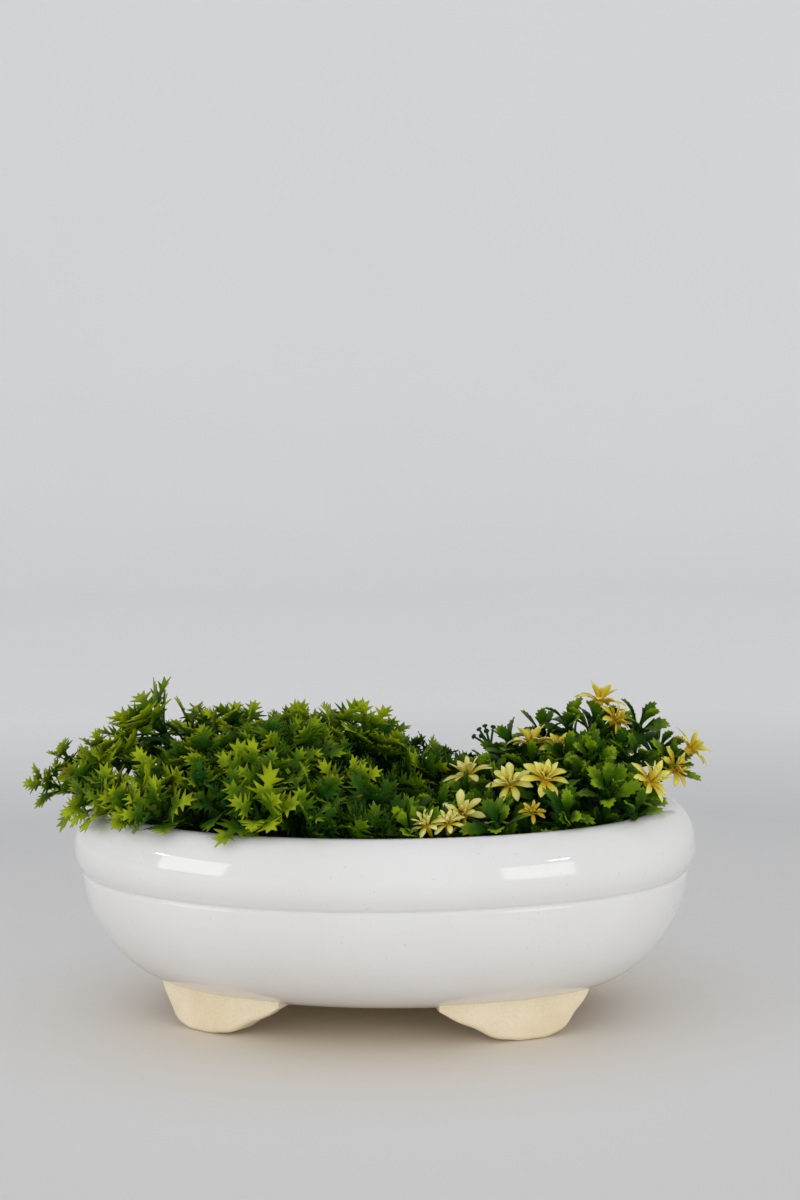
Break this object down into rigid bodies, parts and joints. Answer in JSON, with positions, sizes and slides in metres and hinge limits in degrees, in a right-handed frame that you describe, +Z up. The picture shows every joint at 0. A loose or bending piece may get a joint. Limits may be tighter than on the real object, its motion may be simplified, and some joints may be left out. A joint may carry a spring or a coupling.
{
  "type": "artificial plant arrangement",
  "caption": "Glazed oval bonsai-style planter on clay feet, holding pull-out sprigs of fern-like and flowering artificial foliage in dry foam.",
  "frame": {"origin": "on the table, under the centre of the bowl", "axes": "+Z up, +X along the bowl's length towards the flowering sprigs, -Y the front of the arrangement"},
  "size_m": [0.2496, 0.18, 0.1232],
  "materials": {
    "glaze": "gloss",
    "bisque": "matte",
    "foam": "matte",
    "stem": "satin",
    "fern": "satin",
    "serrate": "satin",
    "petal": "satin"
  },
  "bodies": {
    "planter": {"bowl": "glaze", "floral_foam_left": "foam", "floral_foam_right": "foam", "foot_front_left": "bisque", "foot_front_right": "bisque", "foot_rear_left": "bisque", "foot_rear_right": "bisque"},
    "fern_far_left": {"fern_far_left_leaves": "fern", "fern_far_left_stem": "stem"},
    "fern_top_left": {"fern_top_left_leaves": "fern", "fern_top_left_lower_leaves": "fern", "fern_top_left_stem": "stem"},
    "fern_top_middle": {"fern_top_middle_leaves": "fern", "fern_top_middle_lower_leaves": "fern", "fern_top_middle_stem": "stem"},
    "fern_top_right": {"fern_top_right_leaves": "fern", "fern_top_right_lower_leaves": "fern", "fern_top_right_stem": "stem"},
    "fern_inner_right": {"fern_inner_right_leaves": "fern", "fern_inner_right_stem": "stem"},
    "fern_front_right": {"fern_front_right_leaves": "fern", "fern_front_right_stem": "stem"},
    "fern_front_middle": {"fern_front_middle_leaves": "fern", "fern_front_middle_lower_leaves": "fern", "fern_front_middle_stem": "stem"},
    "fern_front_left": {"fern_front_left_leaves": "fern", "fern_front_left_lower_leaves": "fern", "fern_front_left_stem": "stem"},
    "fern_rear_right": {"fern_rear_right_leaves": "fern", "fern_rear_right_stem": "stem"},
    "fern_rear_left": {"fern_rear_left_leaves": "fern", "fern_rear_left_stem": "stem"},
    "flower_bare_peg": {"flower_bare_peg_lower_leaves": "serrate", "flower_bare_peg_stem": "stem"},
    "flower_tall": {"flower_tall_leaves": "serrate", "flower_tall_petals": "petal", "flower_tall_stem": "stem"},
    "flower_far_right": {"flower_far_right_leaves": "serrate", "flower_far_right_petals": "petal", "flower_far_right_stem": "stem"},
    "flower_side_right": {"flower_side_right_leaves": "serrate", "flower_side_right_petals": "petal", "flower_side_right_stem": "stem"},
    "flower_top_inner": {"flower_top_inner_leaves": "serrate", "flower_top_inner_petals": "petal", "flower_top_inner_stem": "stem"},
    "flower_front_middle": {"flower_front_middle_leaves": "serrate", "flower_front_middle_petals": "petal", "flower_front_middle_stem": "stem"},
    "flower_inner_left": {"flower_inner_left_leaves": "serrate", "flower_inner_left_petals": "petal", "flower_inner_left_stem": "stem"},
    "flower_front_left": {"flower_front_left_leaves": "serrate", "flower_front_left_petals": "petal", "flower_front_left_stem": "stem"},
    "flower_rear_right": {"flower_rear_right_leaves": "serrate", "flower_rear_right_petals": "petal", "flower_rear_right_stem": "stem"}
  },
  "joints": [
    {"name": "fern_far_left_pull", "type": "slide", "parent": "planter", "child": "fern_far_left", "axis": [-0.5502, -0.1065, 0.8282], "range_m": [0, 0.028]},
    {"name": "fern_top_left_pull", "type": "slide", "parent": "planter", "child": "fern_top_left", "axis": [-0.164, -0.0096, 0.9864], "range_m": [0, 0.028]},
    {"name": "fern_top_middle_pull", "type": "slide", "parent": "planter", "child": "fern_top_middle", "axis": [-0.0219, 0.0219, 0.9995], "range_m": [0, 0.028]},
    {"name": "fern_top_right_pull", "type": "slide", "parent": "planter", "child": "fern_top_right", "axis": [0.0766, 0.0328, 0.9965], "range_m": [0, 0.028]},
    {"name": "fern_inner_right_pull", "type": "slide", "parent": "planter", "child": "fern_inner_right", "axis": [0.3264, 0.0653, 0.943], "range_m": [0, 0.028]},
    {"name": "fern_front_right_pull", "type": "slide", "parent": "planter", "child": "fern_front_right", "axis": [0.2447, -0.2283, 0.9423], "range_m": [0, 0.028]},
    {"name": "fern_front_middle_pull", "type": "slide", "parent": "planter", "child": "fern_front_middle", "axis": [0.0291, -0.247, 0.9686], "range_m": [0, 0.028]},
    {"name": "fern_front_left_pull", "type": "slide", "parent": "planter", "child": "fern_front_left", "axis": [-0.199, -0.2297, 0.9527], "range_m": [0, 0.028]},
    {"name": "fern_rear_right_pull", "type": "slide", "parent": "planter", "child": "fern_rear_right", "axis": [0.1443, 0.2309, 0.9622], "range_m": [0, 0.028]},
    {"name": "fern_rear_left_pull", "type": "slide", "parent": "planter", "child": "fern_rear_left", "axis": [-0.1408, 0.1972, 0.9702], "range_m": [0, 0.028]},
    {"name": "flower_bare_peg_pull", "type": "slide", "parent": "planter", "child": "flower_bare_peg", "axis": [-0.1328, 0.1859, 0.9736], "range_m": [0, 0.028]},
    {"name": "flower_tall_pull", "type": "slide", "parent": "planter", "child": "flower_tall", "axis": [0.0702, 0.0702, 0.9951], "range_m": [0, 0.028]},
    {"name": "flower_far_right_pull", "type": "slide", "parent": "planter", "child": "flower_far_right", "axis": [0.3458, 0.0988, 0.9331], "range_m": [0, 0.028]},
    {"name": "flower_side_right_pull", "type": "slide", "parent": "planter", "child": "flower_side_right", "axis": [0.3161, -0.1505, 0.9367], "range_m": [0, 0.028]},
    {"name": "flower_top_inner_pull", "type": "slide", "parent": "planter", "child": "flower_top_inner", "axis": [-0.0124, 0.0872, 0.9961], "range_m": [0, 0.028]},
    {"name": "flower_front_middle_pull", "type": "slide", "parent": "planter", "child": "flower_front_middle", "axis": [0.0609, -0.1827, 0.9813], "range_m": [0, 0.028]},
    {"name": "flower_inner_left_pull", "type": "slide", "parent": "planter", "child": "flower_inner_left", "axis": [-0.069, -0.0345, 0.997], "range_m": [0, 0.028]},
    {"name": "flower_front_left_pull", "type": "slide", "parent": "planter", "child": "flower_front_left", "axis": [-0.0837, -0.4605, 0.8837], "range_m": [0, 0.028]},
    {"name": "flower_rear_right_pull", "type": "slide", "parent": "planter", "child": "flower_rear_right", "axis": [0.1359, 0.2175, 0.9666], "range_m": [0, 0.028]}
  ]
}
